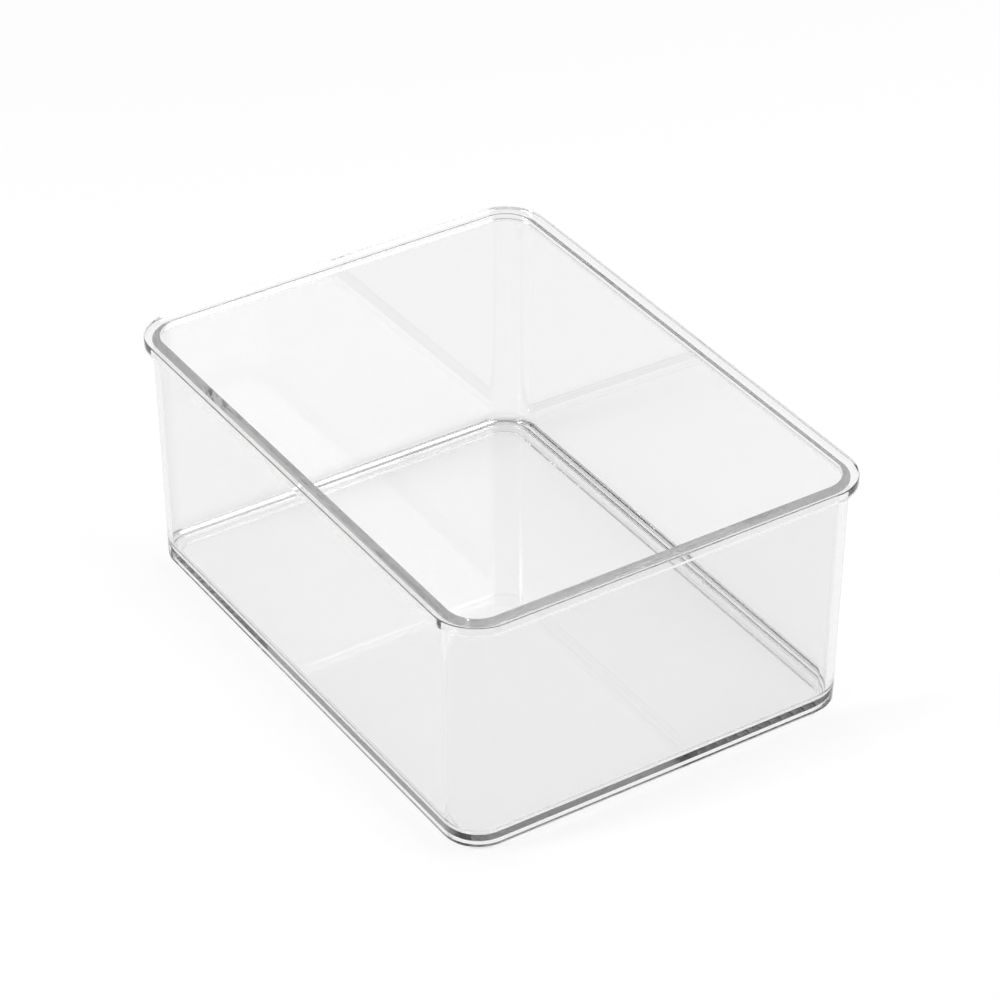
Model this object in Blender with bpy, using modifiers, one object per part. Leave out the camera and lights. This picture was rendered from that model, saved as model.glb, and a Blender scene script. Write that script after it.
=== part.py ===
"""Clear stacking tray, moulded in one piece: a drafted wall, a square-edged rim that stands proud of it,
a raised floor, and a foot ring that drops into the rim of the tray below.

Metres, +Z up, +X along the long side. The origin lies on the ground plane, in the middle of the foot ring.
"""

import math

import bmesh
import bpy

# Outer size, at the rim
LENGTH = 0.2032
WIDTH = 0.1524
HEIGHT = 0.0889
RIM_CORNER_RADIUS = 0.0153

# Rim: a square-edged band that stands proud of the wall
RIM_OVERHANG = 0.0028
RIM_DEPTH = 0.0036

# Wall and floor
WALL = 0.00245
FLOOR = 0.0028
DRAFT_ANGLE = math.radians(0.6)
FLOOR_FILLET = 0.0034

# Foot ring: drops inside the rim opening of the tray below, whose rim then carries the ledge round it
FOOT_DROP = 0.0030
FOOT_WALL = 0.0034
FLOOR_UNDERSIDE = 0.0028
STACKING_CLEARANCE = 0.0007
FOOT_CORNER_RELIEF = 0.0018

# Rounding of the moulded edges
EDGE_ROUND = 0.0004

# How finely the round shapes are divided
CORNER_SEGMENTS = 14
FILLET_SEGMENTS = 6
EDGE_SEGMENTS = 2
SHARP_ANGLE = math.radians(35)

# Finish of the clear plastic
PLASTIC_COLOUR = (0.95, 0.965, 0.97, 1.0)
PLASTIC_ROUGHNESS = 0.03
PLASTIC_IOR = 1.59

# Places that follow from the sizes above
OPENING_INSET = RIM_OVERHANG + WALL
FOOT_INSET = OPENING_INSET + STACKING_CLEARANCE
RECESS_INSET = FOOT_INSET + FOOT_WALL
FLOOR_TOP = FLOOR_UNDERSIDE + FLOOR
RIM_UNDERSIDE = HEIGHT - RIM_DEPTH
RIM_MIDDLE = HEIGHT - RIM_DEPTH / 2
CUTTER_TOP = HEIGHT + WALL


def clear_scene():
    for obj in list(bpy.data.objects):
        bpy.data.objects.remove(obj, do_unlink=True)


def new_collection(name):
    collection = bpy.data.collections.new(name)
    bpy.context.scene.collection.children.link(collection)
    return collection


def draft_over(height):
    """How far a drafted face leans inwards over this height."""
    return height * math.tan(DRAFT_ANGLE)


def round_edges(mesh, edges, radius, segments):
    bmesh.ops.bevel(
        mesh,
        geom=edges,
        offset=radius,
        offset_type="OFFSET",
        segments=segments,
        profile=0.5,
        affect="EDGES",
        clamp_overlap=True,
    )


def rounded_block(name, collection, inset, bottom, top, lean=0.0, corner_relief=0.0, bottom_fillet=0.0):
    """A block with upright round corners. Its sides lie this far inside the rim's outline at the top,
    and lean further in towards the bottom."""
    mesh = bmesh.new()
    bmesh.ops.create_cube(mesh, size=1.0)
    for vertex in mesh.verts:
        is_low = vertex.co.z < 0
        side_inset = inset + lean if is_low else inset
        vertex.co.x *= LENGTH - 2 * side_inset
        vertex.co.y *= WIDTH - 2 * side_inset
        vertex.co.z = bottom if is_low else top
    upright = [edge for edge in mesh.edges if edge.verts[0].co.z != edge.verts[1].co.z]
    round_edges(mesh, upright, RIM_CORNER_RADIUS - inset + corner_relief, CORNER_SEGMENTS)
    if bottom_fillet:
        underside = min(mesh.faces, key=lambda face: face.calc_center_median().z)
        round_edges(mesh, list(underside.edges), bottom_fillet, FILLET_SEGMENTS)
    bmesh.ops.recalc_face_normals(mesh, faces=mesh.faces)
    data = bpy.data.meshes.new(name)
    mesh.to_mesh(data)
    mesh.free()
    block = bpy.data.objects.new(name, data)
    collection.objects.link(block)
    return block


def combine(target, operation, tool):
    """Adds or cuts away a block that only shapes the target, and hides it."""
    tool.hide_render = True
    tool.display_type = "WIRE"
    modifier = target.modifiers.new(tool.name, "BOOLEAN")
    modifier.operation = operation
    modifier.object = tool


def round_hard_edges(target):
    modifier = target.modifiers.new("edge_round", "BEVEL")
    modifier.width = EDGE_ROUND
    modifier.segments = EDGE_SEGMENTS
    modifier.limit_method = "ANGLE"
    modifier.angle_limit = SHARP_ANGLE


def shade(target):
    """Applies the modifiers, then shades the round faces smooth and keeps the hard edges."""
    graph = bpy.context.evaluated_depsgraph_get()
    finished = bpy.data.meshes.new_from_object(target.evaluated_get(graph))
    target.modifiers.clear()
    target.data = finished
    finished.shade_smooth()
    finished.set_sharp_from_angle(angle=SHARP_ANGLE)


def clear_plastic():
    material = bpy.data.materials.new("clear_plastic")
    material.use_nodes = True
    shader = material.node_tree.nodes["Principled BSDF"]
    shader.inputs["Base Color"].default_value = PLASTIC_COLOUR
    shader.inputs["Roughness"].default_value = PLASTIC_ROUGHNESS
    shader.inputs["Metallic"].default_value = 0.0
    shader.inputs["IOR"].default_value = PLASTIC_IOR
    shader.inputs["Transmission Weight"].default_value = 1.0
    return material


def build_tray(parts, tools):
    """The whole tray: wall, rim and foot in one piece, hollowed by the cavity above the floor
    and by the recess below it, which leaves the foot as a ring."""
    wall_lean = draft_over(RIM_UNDERSIDE - FOOT_DROP)
    cavity_lean = draft_over(HEIGHT - FLOOR_TOP)
    tray = rounded_block("tray", parts, RIM_OVERHANG, FOOT_DROP, RIM_MIDDLE, lean=wall_lean)
    rim = rounded_block("rim", tools, 0.0, RIM_UNDERSIDE, HEIGHT)
    foot = rounded_block("foot", tools, FOOT_INSET, 0.0, FOOT_DROP + WALL, corner_relief=FOOT_CORNER_RELIEF)
    cavity = rounded_block(
        "cavity", tools, OPENING_INSET, FLOOR_TOP, CUTTER_TOP, lean=cavity_lean, bottom_fillet=FLOOR_FILLET
    )
    recess = rounded_block(
        "recess", tools, RECESS_INSET, -WALL, FLOOR_UNDERSIDE, corner_relief=FOOT_CORNER_RELIEF
    )
    combine(tray, "UNION", rim)
    combine(tray, "UNION", foot)
    combine(tray, "DIFFERENCE", cavity)
    combine(tray, "DIFFERENCE", recess)
    round_hard_edges(tray)
    bpy.context.view_layer.update()
    shade(tray)
    tray.data.materials.append(clear_plastic())
    return tray


def main():
    clear_scene()
    parts = new_collection("stacking_tray")
    tools = new_collection("shaping_tools")
    build_tray(parts, tools)


main()
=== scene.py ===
"""The looks of the clear stacking tray: a fine mesh of the moulding, its clear plastic and a white studio.

Metres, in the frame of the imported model: +X along the long side, +Z up. The origin lies on the ground
plane, in the middle of the foot ring.
"""

import math

import bmesh
import bpy
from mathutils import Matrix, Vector


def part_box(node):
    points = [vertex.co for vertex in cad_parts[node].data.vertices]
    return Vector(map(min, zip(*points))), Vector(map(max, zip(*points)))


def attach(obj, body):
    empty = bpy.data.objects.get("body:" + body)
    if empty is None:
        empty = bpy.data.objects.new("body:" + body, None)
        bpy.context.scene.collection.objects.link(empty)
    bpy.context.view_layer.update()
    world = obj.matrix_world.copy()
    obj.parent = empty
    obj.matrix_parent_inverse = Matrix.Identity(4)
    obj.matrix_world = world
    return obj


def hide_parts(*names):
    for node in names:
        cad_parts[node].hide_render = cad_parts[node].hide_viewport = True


RIGHT_ANGLE = math.radians(90)

# Section of the tray, with the sizes of the solid
RIM_CORNER_RADIUS = 0.0153
RIM_OVERHANG = 0.0028
RIM_DEPTH = 0.0036
WALL = 0.00245
FLOOR = 0.0028
FLOOR_FILLET = 0.0034
DRAFT_ANGLE = math.radians(0.6)
FOOT_DROP = 0.0030
FOOT_WALL = 0.0034
FLOOR_UNDERSIDE = 0.0028
STACKING_CLEARANCE = 0.0007
FOOT_CORNER_RELIEF = 0.0018

# Rounding of the moulded edges: most outer ones, the crisper stacking ledge, and the inner angles
EDGE_ROUND = 0.0004
LEDGE_ROUND = 0.0002
INNER_ROUND = 0.0002

# How far inside the last rounding the two level faces in the middle begin
CAP_INSET = 2 * EDGE_ROUND

# How finely the mesh is divided, and the points close beside each rounding that keep the flat faces flat
CORNER_SEGMENTS = 48
FILLET_SEGMENTS = 20
ROUND_SEGMENTS = 8
LONG_SIDE_SEGMENTS = 24
SHORT_SIDE_SEGMENTS = 18
WALL_SEGMENTS = 16
LONG_STRETCH = 10 * WALL
EDGE_SUPPORT = 0.00012
CORNER_SUPPORT = 0.0004

# Camera, worked out from the photograph's edges. Its azimuth is the direction of its right hand
CAMERA_AZIMUTH = math.radians(57.19)
CAMERA_ELEVATION = math.radians(34.86)
CAMERA_DISTANCE = 1.2522
CAMERA_TARGET = Vector((0.00134, 0.00208, 0.05048))
CAMERA_LENS = 139.94
SENSOR_WIDTH = 36.0

# Plastic: how it bends and dims light, how even its faces are, and how much lamp light passes to the floor
PLASTIC_IOR = 1.59
PLASTIC_TINT = 0.925
PLASTIC_ABSORPTION = 14.0
ABSORBED_GREY = 0.5
PLASTIC_SMOOTHEST = 0.0
PLASTIC_ROUGHEST = 0.01
MOTTLE_SCALE = 90.0
FLOW_SCALE = 35.0
FLOW_HEIGHT = 0.000004
SHADOW_TINT = 1.0
SHADOW_GLANCE = 8.0
GLANCE_BLEND = 0.5

# Studio: a white floor, a world that is darker in front than behind, and a softbox on either side
FLOOR_SIZE = 6.0
FLOOR_GAP = 0.0002
FLOOR_GREY = 0.96
FLOOR_WHITE_SHARE = 0.35
FRONT_LIGHT = 0.40
BACK_LIGHT = 1.0
FRONT_LIGHT_ENDS = -0.2
BACK_LIGHT_STARTS = 0.5
LAMP_DISTANCE = 2.5
LAMP_TALL = 1.6
LEFT_LAMP_WIDE = 0.35
LEFT_LAMP_POWER = 18.5
LEFT_LAMP_TURN = math.radians(111)
LEFT_LAMP_RISE = math.radians(40)
RIGHT_LAMP_WIDE = 1.5
RIGHT_LAMP_POWER = 28.0
RIGHT_LAMP_TURN = math.radians(-114)
RIGHT_LAMP_RISE = math.radians(40)
LIGHT_BOUNCES = 128
CLEAR_BOUNCES = 32


def section(height):
    """Corners of the tray's section, from the recess under the floor round foot and rim to the floor.

    Each has its distance inside the rim's outline, its height, its corner radius seen from above
    and the rounding of the edge there.
    """
    opening = RIM_OVERHANG + WALL
    foot = opening + STACKING_CLEARANCE
    rim_underside = height - RIM_DEPTH
    wall_base = RIM_OVERHANG + math.tan(DRAFT_ANGLE) * (rim_underside - FOOT_DROP)
    floor_top = FLOOR_UNDERSIDE + FLOOR
    cavity_base = opening + math.tan(DRAFT_ANGLE) * (height - floor_top)
    foot_radius = RIM_CORNER_RADIUS - foot + FOOT_CORNER_RELIEF
    wall_radius = RIM_CORNER_RADIUS - RIM_OVERHANG
    cavity_radius = RIM_CORNER_RADIUS - opening
    floor_in = FLOOR_FILLET + CAP_INSET
    recess = foot + FOOT_WALL
    recess_radius = foot_radius - FOOT_WALL
    return [
        (recess + CAP_INSET, FLOOR_UNDERSIDE, recess_radius - CAP_INSET, 0.0),
        (recess, FLOOR_UNDERSIDE, recess_radius, INNER_ROUND),
        (recess, 0.0, recess_radius, EDGE_ROUND),
        (foot, 0.0, foot_radius, EDGE_ROUND),
        (foot, FOOT_DROP, foot_radius, INNER_ROUND),
        (wall_base, FOOT_DROP, wall_radius, LEDGE_ROUND),
        (RIM_OVERHANG, rim_underside, wall_radius, INNER_ROUND),
        (0.0, rim_underside, RIM_CORNER_RADIUS, EDGE_ROUND),
        (0.0, height, RIM_CORNER_RADIUS, EDGE_ROUND),
        (opening, height, cavity_radius, EDGE_ROUND),
        (cavity_base, floor_top, cavity_radius, FLOOR_FILLET),
        (cavity_base + floor_in, floor_top, cavity_radius - floor_in, 0.0),
    ]


def rounded_section(corners):
    """The section as a fine line of (inset, height, corner radius), with each corner rounded."""
    points = [Vector(corner[:3]) for corner in corners]
    roundings = [corner[3] for corner in corners]
    line = [points[0]]
    for before, here, after, rounding in zip(points, points[1:], points[2:], roundings[1:]):
        into = flat_direction(here, before)
        out = flat_direction(here, after)
        opening_angle = math.acos(max(-1.0, min(1.0, into.xy.dot(out.xy))))
        reach = rounding / math.tan(opening_angle / 2)
        turn = math.pi - opening_angle
        segments = FILLET_SEGMENTS if rounding == FLOOR_FILLET else ROUND_SEGMENTS
        append_flat(line, here + into * (reach + EDGE_SUPPORT))
        for step in range(segments + 1):
            angle = turn * step / segments
            rise = rounding * (1 - math.cos(angle))
            along_out = rise / math.sin(opening_angle)
            along_in = reach - rounding * math.sin(angle) + along_out * math.cos(turn)
            line.append(here + into * along_in + out * along_out)
        line.append(here + out * (reach + EDGE_SUPPORT))
    append_flat(line, points[-1])
    return line


def flat_direction(start, end):
    """The direction from start to end, one metre long in the section's plane."""
    step = end - start
    return step / step.xy.length


def append_flat(line, end):
    """Ends a flat stretch of the section, divided where it is long."""
    start = line[-1]
    divisions = WALL_SEGMENTS if (end - start).xy.length > LONG_STRETCH else 1
    for step in range(1, divisions + 1):
        line.append(start.lerp(end, step / divisions))


def ring(length, width, point):
    """One level ring of the tray, counter-clockwise from the right side."""
    inset, height, radius = point
    half_x = length / 2 - inset - radius
    half_y = width / 2 - inset - radius
    corners = [(half_x, half_y), (-half_x, half_y), (-half_x, -half_y), (half_x, -half_y)]
    ring_points = []
    for quarter, (x, y) in enumerate(corners):
        for step in range(CORNER_SEGMENTS + 1):
            angle = RIGHT_ANGLE * (quarter + step / CORNER_SEGMENTS)
            ring_points.append(Vector((x + radius * math.cos(angle), y + radius * math.sin(angle), height)))
        next_x, next_y = corners[(quarter + 1) % 4]
        end_angle = RIGHT_ANGLE * (quarter + 1)
        reach = Vector((radius * math.cos(end_angle), radius * math.sin(end_angle), height))
        start = Vector((x, y, 0)) + reach
        end = Vector((next_x, next_y, 0)) + reach
        segments = SHORT_SIDE_SEGMENTS if quarter % 2 else LONG_SIDE_SEGMENTS
        support = CORNER_SUPPORT / (end - start).length
        for step in range(segments + 1):
            share = support + (1 - 2 * support) * step / segments
            ring_points.append(start.lerp(end, share))
    return ring_points


def build_tray(length, width, height):
    """The moulding as one closed skin: rings joined along the section, and a level face at either end."""
    line = rounded_section(section(height))
    mesh = bmesh.new()
    rings = [[mesh.verts.new(co) for co in ring(length, width, point)] for point in line]
    for low, high in zip(rings, rings[1:]):
        for index, vertex in enumerate(low):
            following = (index + 1) % len(low)
            mesh.faces.new((vertex, low[following], high[following], high[index]))
    mesh.faces.new(list(reversed(rings[0])))
    mesh.faces.new(rings[-1])
    bmesh.ops.recalc_face_normals(mesh, faces=mesh.faces)
    data = bpy.data.meshes.new("tray_moulding")
    mesh.to_mesh(data)
    mesh.free()
    data.shade_smooth()
    tray = bpy.data.objects.new("tray_moulding", data)
    bpy.context.scene.collection.objects.link(tray)
    return tray


def let_through(nodes, links):
    """How much lamp light passes one face: less at a glancing angle."""
    glance = nodes.new("ShaderNodeLayerWeight")
    glance.inputs["Blend"].default_value = GLANCE_BLEND
    steep = nodes.new("ShaderNodeMath")
    steep.operation = "POWER"
    steep.inputs[1].default_value = SHADOW_GLANCE
    passed = nodes.new("ShaderNodeMapRange")
    passed.inputs["To Min"].default_value = SHADOW_TINT
    passed.inputs["To Max"].default_value = 0.0
    links.new(glance.outputs["Facing"], steep.inputs[0])
    links.new(steep.outputs["Value"], passed.inputs["Value"])
    return passed.outputs["Result"]


def mottle(nodes, links):
    """The polish of the moulded faces, a little uneven from place to place."""
    spots = nodes.new("ShaderNodeTexNoise")
    spots.inputs["Scale"].default_value = MOTTLE_SCALE
    polish = nodes.new("ShaderNodeMapRange")
    polish.inputs["To Min"].default_value = PLASTIC_SMOOTHEST
    polish.inputs["To Max"].default_value = PLASTIC_ROUGHEST
    links.new(spots.outputs["Fac"], polish.inputs["Value"])
    return polish.outputs["Result"]


def flow_marks(nodes, links):
    """The faint waviness that the flowing melt leaves in the faces."""
    waves = nodes.new("ShaderNodeTexNoise")
    waves.inputs["Scale"].default_value = FLOW_SCALE
    bump = nodes.new("ShaderNodeBump")
    bump.inputs["Distance"].default_value = FLOW_HEIGHT
    links.new(waves.outputs["Fac"], bump.inputs["Height"])
    return bump.outputs["Normal"]


def clear_plastic():
    """Clear plastic: what the camera sees is bent in it, and the light on the floor passes it unbent."""
    material = bpy.data.materials.new("clear_plastic_fine")
    material.use_nodes = True
    nodes = material.node_tree.nodes
    links = material.node_tree.links
    shader = nodes["Principled BSDF"]
    output = nodes["Material Output"]
    shader.inputs["Base Color"].default_value = (PLASTIC_TINT, PLASTIC_TINT, PLASTIC_TINT, 1.0)
    links.new(mottle(nodes, links), shader.inputs["Roughness"])
    links.new(flow_marks(nodes, links), shader.inputs["Normal"])
    shader.inputs["IOR"].default_value = PLASTIC_IOR
    shader.inputs["Transmission Weight"].default_value = 1.0
    absorb = nodes.new("ShaderNodeVolumeAbsorption")
    absorb.inputs["Color"].default_value = (ABSORBED_GREY, ABSORBED_GREY, ABSORBED_GREY, 1.0)
    absorb.inputs["Density"].default_value = PLASTIC_ABSORPTION
    links.new(absorb.outputs["Volume"], output.inputs["Volume"])
    path = nodes.new("ShaderNodeLightPath")
    clear = nodes.new("ShaderNodeBsdfTransparent")
    links.new(let_through(nodes, links), clear.inputs["Color"])
    for_lamps = nodes.new("ShaderNodeMixShader")
    for_floor = nodes.new("ShaderNodeMixShader")
    links.new(path.outputs["Is Diffuse Ray"], for_floor.inputs["Fac"])
    links.new(shader.outputs["BSDF"], for_floor.inputs[1])
    links.new(clear.outputs["BSDF"], for_floor.inputs[2])
    links.new(path.outputs["Is Shadow Ray"], for_lamps.inputs["Fac"])
    links.new(for_floor.outputs["Shader"], for_lamps.inputs[1])
    links.new(clear.outputs["BSDF"], for_lamps.inputs[2])
    links.new(for_lamps.outputs["Shader"], output.inputs["Surface"])
    return material


def whiten(tree, shader):
    """Mixes plain white into what the camera sees of the floor, also in and through the plastic."""
    nodes = tree.nodes
    links = tree.links
    path = nodes.new("ShaderNodeLightPath")
    bent = nodes.new("ShaderNodeMath")
    bent.operation = "MAXIMUM"
    seen = nodes.new("ShaderNodeMath")
    seen.operation = "MAXIMUM"
    share = nodes.new("ShaderNodeMath")
    share.operation = "MULTIPLY"
    share.inputs[1].default_value = FLOOR_WHITE_SHARE
    white = nodes.new("ShaderNodeEmission")
    mixed = nodes.new("ShaderNodeMixShader")
    links.new(path.outputs["Is Glossy Ray"], bent.inputs[0])
    links.new(path.outputs["Is Transmission Ray"], bent.inputs[1])
    links.new(path.outputs["Is Camera Ray"], seen.inputs[0])
    links.new(bent.outputs["Value"], seen.inputs[1])
    links.new(seen.outputs["Value"], share.inputs[0])
    links.new(share.outputs["Value"], mixed.inputs["Fac"])
    links.new(shader.outputs["BSDF"], mixed.inputs[1])
    links.new(white.outputs["Emission"], mixed.inputs[2])
    links.new(mixed.outputs["Shader"], nodes["Material Output"].inputs["Surface"])


def build_floor():
    """A wide matt white floor, a hair below the tray's foot."""
    mesh = bmesh.new()
    bmesh.ops.create_grid(mesh, x_segments=1, y_segments=1, size=FLOOR_SIZE / 2)
    data = bpy.data.meshes.new("studio_floor")
    mesh.to_mesh(data)
    mesh.free()
    floor = bpy.data.objects.new("studio_floor", data)
    floor.location.z = -FLOOR_GAP
    bpy.context.scene.collection.objects.link(floor)
    material = bpy.data.materials.new("studio_white")
    material.use_nodes = True
    shader = material.node_tree.nodes["Principled BSDF"]
    shader.inputs["Base Color"].default_value = (FLOOR_GREY, FLOOR_GREY, FLOOR_GREY, 1.0)
    shader.inputs["Roughness"].default_value = 1.0
    shader.inputs["Specular IOR Level"].default_value = 0.0
    whiten(material.node_tree, shader)
    floor.data.materials.append(material)


def build_world():
    """White light from all round, stronger from behind the tray than from the camera's side."""
    world = bpy.data.worlds.new("studio")
    world.use_nodes = True
    bpy.context.scene.world = world
    nodes = world.node_tree.nodes
    links = world.node_tree.links
    background = nodes["Background"]
    background.inputs["Color"].default_value = (1.0, 1.0, 1.0, 1.0)
    place = nodes.new("ShaderNodeTexCoord")
    along = nodes.new("ShaderNodeVectorMath")
    along.operation = "DOT_PRODUCT"
    back = Vector((-math.sin(CAMERA_AZIMUTH), math.cos(CAMERA_AZIMUTH), 0.0))
    along.inputs[1].default_value = back
    ramp = nodes.new("ShaderNodeMapRange")
    ramp.interpolation_type = "SMOOTHSTEP"
    ramp.inputs["From Min"].default_value = FRONT_LIGHT_ENDS
    ramp.inputs["From Max"].default_value = BACK_LIGHT_STARTS
    ramp.inputs["To Min"].default_value = FRONT_LIGHT
    ramp.inputs["To Max"].default_value = BACK_LIGHT
    links.new(place.outputs["Generated"], along.inputs[0])
    links.new(along.outputs["Value"], ramp.inputs["Value"])
    links.new(ramp.outputs["Result"], background.inputs["Strength"])


def build_lamp(name, wide, power, turn, rise):
    """A softbox aimed at the tray. Its turn counts from straight behind the tray to the camera's left."""
    data = bpy.data.lights.new(name, "AREA")
    data.shape = "RECTANGLE"
    data.size = wide
    data.size_y = LAMP_TALL
    data.energy = power
    lamp = bpy.data.objects.new(name, data)
    angle = CAMERA_AZIMUTH + RIGHT_ANGLE + turn
    level = math.cos(rise)
    direction = Vector((math.cos(angle) * level, math.sin(angle) * level, math.sin(rise)))
    lamp.location = direction * LAMP_DISTANCE
    lamp.rotation_euler = lamp.location.to_track_quat("Z", "Y").to_euler()
    bpy.context.scene.collection.objects.link(lamp)


def build_camera():
    """The camera at the photograph's viewing angle."""
    data = bpy.data.cameras.new("camera")
    data.lens = CAMERA_LENS
    data.sensor_width = SENSOR_WIDTH
    camera = bpy.data.objects.new("camera", data)
    bpy.context.scene.collection.objects.link(camera)
    level = math.cos(CAMERA_ELEVATION)
    away = Vector(
        (math.sin(CAMERA_AZIMUTH) * level, -math.cos(CAMERA_AZIMUTH) * level, math.sin(CAMERA_ELEVATION))
    )
    camera.location = CAMERA_TARGET + away * CAMERA_DISTANCE
    camera.rotation_euler = (-away).to_track_quat("-Z", "Y").to_euler()
    bpy.context.scene.camera = camera


def set_rendering():
    """Plain colours, and enough bounces for light that stays long inside the clear walls."""
    scene = bpy.context.scene
    scene.view_settings.view_transform = "Standard"
    scene.cycles.use_denoising = True
    scene.cycles.max_bounces = LIGHT_BOUNCES
    scene.cycles.transmission_bounces = LIGHT_BOUNCES
    scene.cycles.glossy_bounces = LIGHT_BOUNCES
    scene.cycles.transparent_max_bounces = CLEAR_BOUNCES


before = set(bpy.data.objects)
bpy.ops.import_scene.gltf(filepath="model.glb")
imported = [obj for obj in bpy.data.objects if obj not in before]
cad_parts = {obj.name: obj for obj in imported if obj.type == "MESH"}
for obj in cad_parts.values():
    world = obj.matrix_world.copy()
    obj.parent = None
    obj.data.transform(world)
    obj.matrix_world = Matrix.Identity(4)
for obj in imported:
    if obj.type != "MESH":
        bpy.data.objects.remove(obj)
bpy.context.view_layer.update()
low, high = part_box("tray")
tray = build_tray(high.x - low.x, high.y - low.y, high.z - low.z)
tray.data.materials.append(clear_plastic())
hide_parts("tray")
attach(tray, "root")
build_floor()
build_world()
build_lamp("left_softbox", LEFT_LAMP_WIDE, LEFT_LAMP_POWER, LEFT_LAMP_TURN, LEFT_LAMP_RISE)
build_lamp("right_softbox", RIGHT_LAMP_WIDE, RIGHT_LAMP_POWER, RIGHT_LAMP_TURN, RIGHT_LAMP_RISE)
build_camera()
set_rendering()
